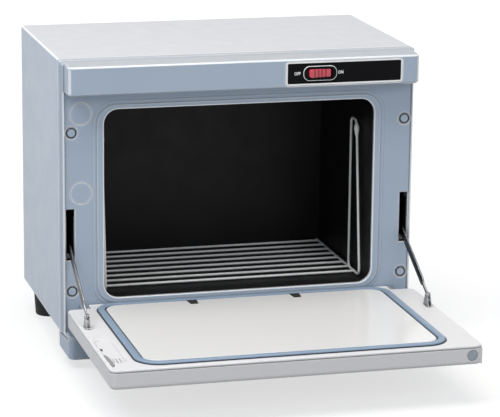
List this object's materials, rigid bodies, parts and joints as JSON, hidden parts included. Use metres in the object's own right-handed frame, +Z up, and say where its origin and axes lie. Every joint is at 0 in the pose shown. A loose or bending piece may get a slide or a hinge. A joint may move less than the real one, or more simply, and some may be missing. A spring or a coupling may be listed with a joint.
{
  "type": "hot towel cabinet",
  "caption": "Box-shaped towel warmer on feet: a fold-down door on side stays, a gasketed chamber with a wire rack, and a rocker switch in an overhanging visor.",
  "frame": {"origin": "on the floor, under the middle of the bounding box of the cabinet with its door open", "axes": "+X to the right seen from the front, +Y from the open door towards the back, +Z up"},
  "size_m": [0.45, 0.5528, 0.378],
  "materials": {
    "grey_painted_steel": "pale grey paint, satin",
    "blue_grey_plastic": "moulded, satin",
    "warm_white_plastic": "moulded, satin",
    "white_panel": "smooth white",
    "blue_grey_rubber": "moulded, matt",
    "black_rubber": "matt",
    "black_plastic": "glossy",
    "red_lens": "translucent, glossy",
    "bright_steel": "bright, smooth",
    "zinc_plated_steel": "zinc plated",
    "black_enamel": "dark, satin",
    "white_coated_wire": "white coating",
    "glass_wool": "fibrous, matt",
    "silicone_heater": "matt"
  },
  "bodies": {
    "cabinet": {"back_panel": "grey_painted_steel", "back_screw_1": "zinc_plated_steel", "back_screw_2": "zinc_plated_steel", "back_screw_3": "zinc_plated_steel", "back_screw_4": "zinc_plated_steel", "base_pan": "zinc_plated_steel", "base_rail": "blue_grey_plastic", "catch_plate": "zinc_plated_steel", "control_panel": "black_plastic", "cord_inlet_bush": "black_plastic", "face_plug_lower_left": "blue_grey_plastic", "face_plug_lower_right": "blue_grey_plastic", "face_plug_upper_left": "blue_grey_plastic", "face_plug_upper_right": "blue_grey_plastic", "foot_front_left": "black_rubber", "foot_front_right": "black_rubber", "foot_rear_left": "black_rubber", "foot_rear_right": "black_rubber", "foot_screw_front_left": "zinc_plated_steel", "foot_screw_front_right": "zinc_plated_steel", "foot_screw_rear_left": "zinc_plated_steel", "foot_screw_rear_right": "zinc_plated_steel", "front_frame": "blue_grey_plastic", "heater_plate": "silicone_heater", "hinge_pin_left": "zinc_plated_steel", "hinge_pin_right": "zinc_plated_steel", "insulation_blanket": "glass_wool", "outer_shell": "grey_painted_steel", "panel_border": "warm_white_plastic", "stay_guide_left": "zinc_plated_steel", "stay_guide_right": "zinc_plated_steel", "stay_rest_left": "zinc_plated_steel", "stay_rest_right": "zinc_plated_steel", "switch_housing": "black_plastic", "terminal_block": "black_plastic", "thermal_fuse": "zinc_plated_steel", "thermostat": "warm_white_plastic", "towel_chamber": "black_enamel", "wire_rack": "white_coated_wire"},
    "door": {"catch_magnet": "zinc_plated_steel", "door_gasket": "blue_grey_rubber", "door_inner_panel": "white_panel", "door_insulation": "glass_wool", "door_liner": "warm_white_plastic", "door_outer": "warm_white_plastic", "gasket_clip_left": "black_rubber", "gasket_clip_right": "black_rubber", "hinge_bush_left": "warm_white_plastic", "hinge_bush_right": "warm_white_plastic", "stay_bracket_left": "zinc_plated_steel", "stay_bracket_right": "zinc_plated_steel", "stay_pin_left": "zinc_plated_steel", "stay_pin_right": "zinc_plated_steel"},
    "stay_left": {"stay_left": "bright_steel"},
    "stay_right": {"stay_right": "bright_steel"},
    "rocker": {"power_rocker": "red_lens"}
  },
  "joints": [
    {"name": "door_hinge", "type": "hinge", "parent": "cabinet", "child": "door", "pos_m": [0, -0.0092, 0.0704], "axis": [-1, 0, 0], "range_deg": [0, 90]},
    {"name": "stay_left_pivot", "type": "hinge", "parent": "door", "child": "stay_left", "pos_m": [-0.214, -0.1011, 0.087], "axis": [-1, 0, 0], "range_deg": [-90, 0]},
    {"name": "stay_right_pivot", "type": "hinge", "parent": "door", "child": "stay_right", "pos_m": [0.214, -0.1011, 0.087], "axis": [-1, 0, 0], "range_deg": [-90, 0]},
    {"name": "rocker_tilt", "type": "hinge", "parent": "cabinet", "child": "rocker", "pos_m": [0.0918, -0.0288, 0.357], "axis": [0, 0, 1], "range_deg": [-14, 0]}
  ],
  "couplings": [
    {"joint": "stay_left_pivot", "follows": "door_hinge", "ratio": -0.59534},
    {"joint": "stay_right_pivot", "follows": "door_hinge", "ratio": -0.59534}
  ]
}
